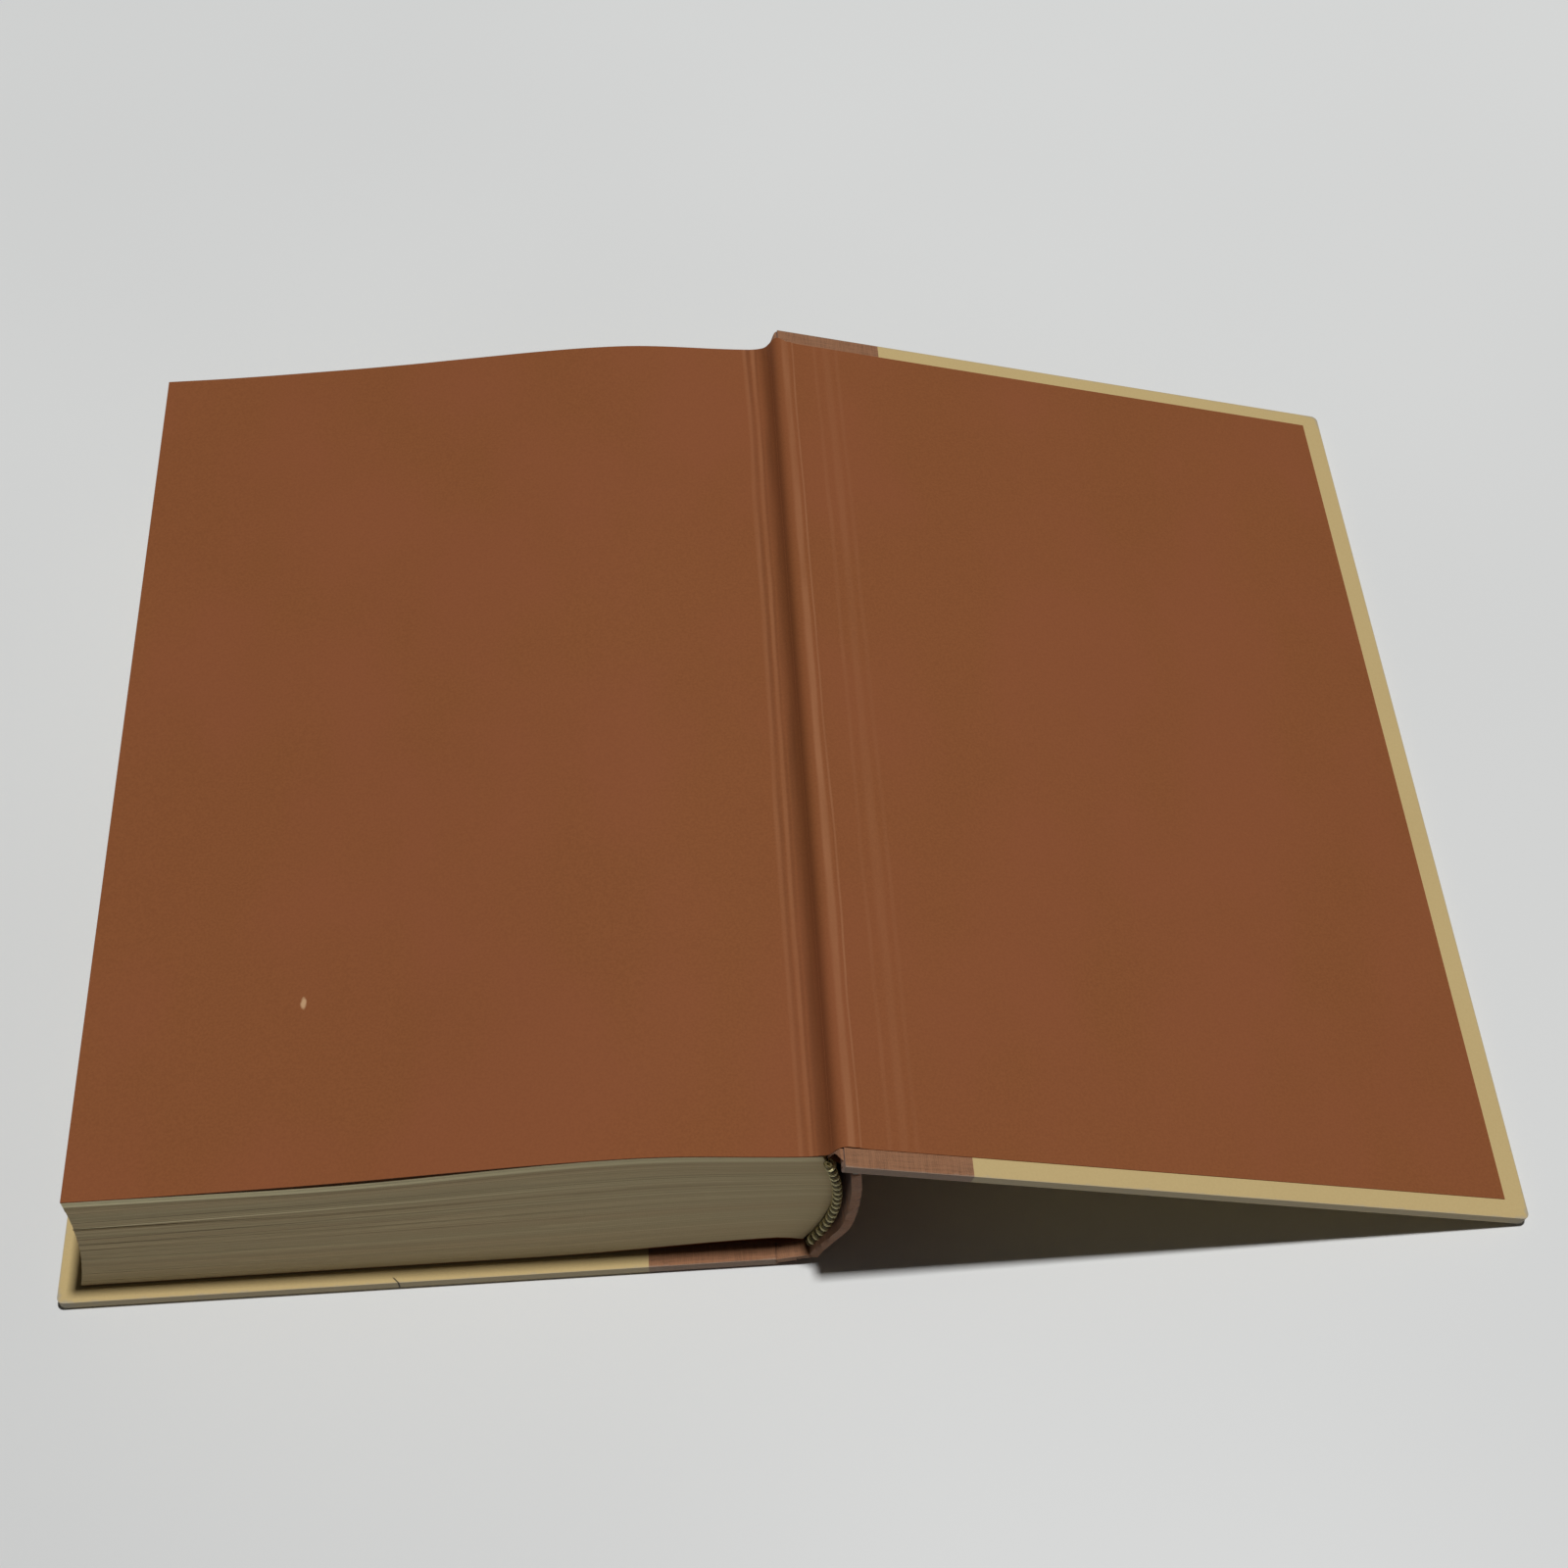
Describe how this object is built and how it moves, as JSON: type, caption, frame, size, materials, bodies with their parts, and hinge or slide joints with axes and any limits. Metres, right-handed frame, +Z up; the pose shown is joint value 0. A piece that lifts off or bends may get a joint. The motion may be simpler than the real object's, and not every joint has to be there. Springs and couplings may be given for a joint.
{
  "type": "hardcover book",
  "caption": "Hardcover book lying on its closed front cover with the back cover thrown open, in quarter cloth and plain paper sides, with a rounded page block, sewn bands and hollow back.",
  "frame": {"origin": "on the table, under the middle of the open book's bounding box", "axes": "+X from the closed front cover's fore edge towards the open back cover, +Y from tail to head, +Z up from the table"},
  "size_m": [0.3048, 0.2364, 0.0444],
  "materials": {
    "board": "grey binder's board",
    "book_cloth": "rust brown woven book cloth",
    "side_paper": "cream buff paper, matte",
    "endpaper": "matte terracotta paper",
    "pages": "aged cream text paper",
    "mull": "open weave cotton",
    "lining": "brown kraft paper",
    "band_thread": "olive and pale twisted thread"
  },
  "bodies": {
    "front_cover": {"front_board": "board", "front_board_cloth": "book_cloth", "front_side_paper": "side_paper", "front_pastedown": "endpaper", "front_mull_flange": "mull"},
    "front_joint": {"front_joint_cloth": "book_cloth", "front_joint_mull": "mull", "front_joint_paper": "endpaper"},
    "text": {"text_block": "pages", "front_free_endpaper": "endpaper", "back_free_endpaper": "endpaper", "spine_mull": "mull", "spine_lining": "lining", "tailband": "band_thread", "headband": "band_thread", "spine_inlay": "board", "spine_cloth": "book_cloth"},
    "back_joint": {"back_joint_cloth": "book_cloth", "back_joint_mull": "mull", "back_joint_paper": "endpaper"},
    "back_cover": {"back_board": "board", "back_board_cloth": "book_cloth", "back_side_paper": "side_paper", "back_pastedown": "endpaper", "back_mull_flange": "mull"}
  },
  "joints": [
    {"name": "front_joint_bend", "type": "hinge", "parent": "front_cover", "child": "front_joint", "pos_m": [-0.00342, 0, 0.0029], "axis": [0, 1, 0], "range_deg": [0, 102]},
    {"name": "front_cover_opening", "type": "hinge", "parent": "front_joint", "child": "text", "pos_m": [0.002, 0, 0.00386], "axis": [0, 1, 0], "range_deg": [0, 56]},
    {"name": "back_joint_bend", "type": "hinge", "parent": "text", "child": "back_joint", "pos_m": [0.0064, 0, 0.03971], "axis": [0, -1, 0], "range_deg": [0, 60]},
    {"name": "back_cover_closing", "type": "hinge", "parent": "back_joint", "child": "back_cover", "pos_m": [0.00936, 0, 0.04434], "axis": [0, -1, 0], "range_deg": [0, 137.8]}
  ],
  "couplings": [
    {"joint": "front_joint_bend", "follows": "front_cover_opening", "ratio": 1.82},
    {"joint": "back_joint_bend", "follows": "back_cover_closing", "ratio": 0.43}
  ]
}
